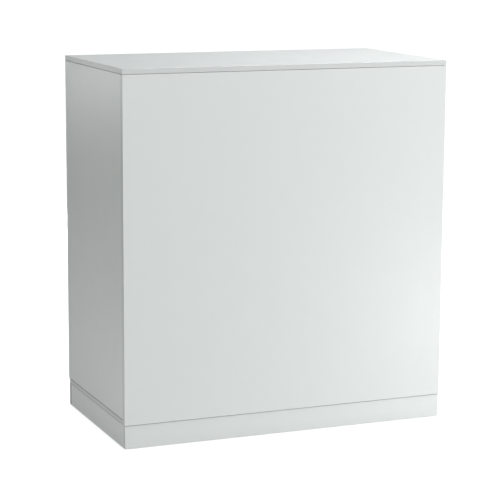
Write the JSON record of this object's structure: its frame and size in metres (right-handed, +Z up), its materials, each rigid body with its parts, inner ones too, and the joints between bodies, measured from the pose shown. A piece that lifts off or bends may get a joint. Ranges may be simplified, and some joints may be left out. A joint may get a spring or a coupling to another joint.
{
  "type": "display plinth",
  "caption": "Rectangular painted display plinth with a flat lift-off top panel on a fine shadow gap, over a slightly recessed base with levelling feet.",
  "frame": {"origin": "on the floor, under the middle of the plinth's footprint", "axes": "+Z up to the display surface, +X to the right along the front, +Y from the front to the back"},
  "size_m": [1.02, 0.55, 1.1],
  "materials": {
    "painted_board": "satin lacquer on board",
    "pine": "planed",
    "beech": "turned",
    "zinc_steel": "zinc plated",
    "felt": "felt",
    "nylon": "moulded"
  },
  "bodies": {
    "box": {"felt_pads": "felt", "front_panel": "painted_board", "back_panel": "painted_board", "side_panel_left": "painted_board", "side_panel_right": "painted_board", "deck": "painted_board", "post_front_left": "pine", "post_front_right": "pine", "post_back_left": "pine", "post_back_right": "pine", "top_rail_front": "pine", "top_rail_back": "pine", "top_rail_left": "pine", "top_rail_right": "pine", "top_rail_middle": "pine", "mid_rail_front": "pine", "mid_rail_back": "pine", "mid_rail_left": "pine", "mid_rail_right": "pine", "bottom_rail_front": "pine", "bottom_rail_back": "pine", "bottom_rail_left": "pine", "bottom_rail_right": "pine", "base_board_front": "painted_board", "base_board_back": "painted_board", "base_board_left": "painted_board", "base_board_right": "painted_board", "base_bearer": "pine", "corner_block_front_left": "pine", "corner_block_front_right": "pine", "corner_block_back_left": "pine", "corner_block_back_right": "pine", "side_panel_screws": "zinc_steel", "front_panel_screws": "zinc_steel", "back_panel_screws": "zinc_steel", "rail_screws": "zinc_steel", "base_screws": "zinc_steel", "frame_dowels": "beech", "deck_dowels": "beech", "base_dowels": "beech", "foot_inserts": "zinc_steel"},
    "lid": {"top_panel": "painted_board", "lid_batten_left": "pine", "lid_batten_mid_left": "pine", "lid_batten_mid_right": "pine", "lid_batten_right": "pine", "lid_screws": "zinc_steel"},
    "pad_front_left": {"foot_pad_front_left": "nylon"},
    "stud_front_left": {"foot_stud_front_left": "zinc_steel"},
    "pad_front_right": {"foot_pad_front_right": "nylon"},
    "stud_front_right": {"foot_stud_front_right": "zinc_steel"},
    "pad_back_left": {"foot_pad_back_left": "nylon"},
    "stud_back_left": {"foot_stud_back_left": "zinc_steel"},
    "pad_back_right": {"foot_pad_back_right": "nylon"},
    "stud_back_right": {"foot_stud_back_right": "zinc_steel"}
  },
  "joints": [
    {"name": "lid_lift", "type": "slide", "parent": "box", "child": "lid", "axis": [0, 0, 1], "range_m": [0, 0.1]},
    {"name": "foot_height_front_left", "type": "slide", "parent": "box", "child": "pad_front_left", "axis": [0, 0, -1], "range_m": [0, 0.015]},
    {"name": "foot_turn_front_left", "type": "hinge", "parent": "pad_front_left", "child": "stud_front_left", "pos_m": [-0.4635, -0.2285, 0.018], "axis": [0, 0, -1], "range_deg": [0, 4320]},
    {"name": "foot_height_front_right", "type": "slide", "parent": "box", "child": "pad_front_right", "axis": [0, 0, -1], "range_m": [0, 0.015]},
    {"name": "foot_turn_front_right", "type": "hinge", "parent": "pad_front_right", "child": "stud_front_right", "pos_m": [0.4635, -0.2285, 0.018], "axis": [0, 0, -1], "range_deg": [0, 4320]},
    {"name": "foot_height_back_left", "type": "slide", "parent": "box", "child": "pad_back_left", "axis": [0, 0, -1], "range_m": [0, 0.015]},
    {"name": "foot_turn_back_left", "type": "hinge", "parent": "pad_back_left", "child": "stud_back_left", "pos_m": [-0.4635, 0.2285, 0.018], "axis": [0, 0, -1], "range_deg": [0, 4320]},
    {"name": "foot_height_back_right", "type": "slide", "parent": "box", "child": "pad_back_right", "axis": [0, 0, -1], "range_m": [0, 0.015]},
    {"name": "foot_turn_back_right", "type": "hinge", "parent": "pad_back_right", "child": "stud_back_right", "pos_m": [0.4635, 0.2285, 0.018], "axis": [0, 0, -1], "range_deg": [0, 4320]}
  ],
  "couplings": [
    {"joint": "foot_turn_front_left", "follows": "foot_height_front_left", "rad_per_m": 5026.5},
    {"joint": "foot_turn_front_right", "follows": "foot_height_front_right", "rad_per_m": 5026.5},
    {"joint": "foot_turn_back_left", "follows": "foot_height_back_left", "rad_per_m": 5026.5},
    {"joint": "foot_turn_back_right", "follows": "foot_height_back_right", "rad_per_m": 5026.5}
  ]
}
